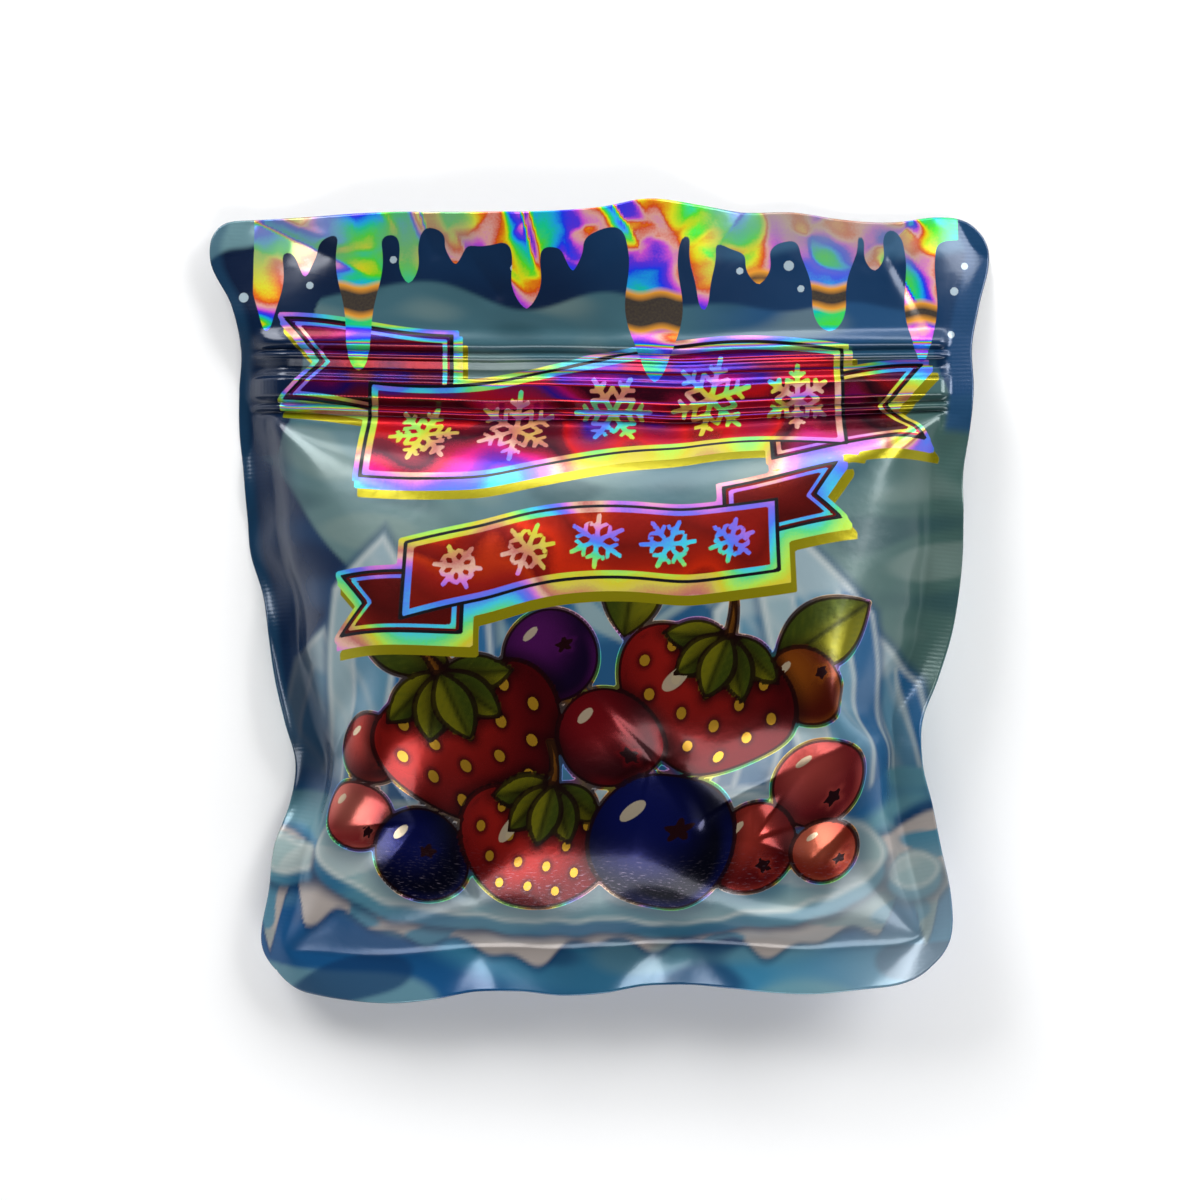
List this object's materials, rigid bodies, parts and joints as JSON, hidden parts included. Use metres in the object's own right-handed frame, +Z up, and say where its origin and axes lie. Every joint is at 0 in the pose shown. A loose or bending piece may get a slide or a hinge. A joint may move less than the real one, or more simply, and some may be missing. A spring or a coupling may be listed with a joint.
{
  "type": "foil pouch of frozen berries",
  "caption": "Shut, filled foil zip pouch lying on its back: bonded sides and bottom, press-to-close zip, flat header, printed front with holographic foil areas.",
  "frame": {"origin": "on the floor, under the middle of the pouch's box", "axes": "+X to the right across the printed front, +Y from the bottom seal to the header's top edge, +Z up out of the printed front"},
  "size_m": [0.1268, 0.13, 0.0199],
  "materials": {
    "pouch": "satin printed foil laminate, holographic where unprinted"
  },
  "bodies": {
    "root": {"pouch": "pouch"}
  },
  "joints": []
}
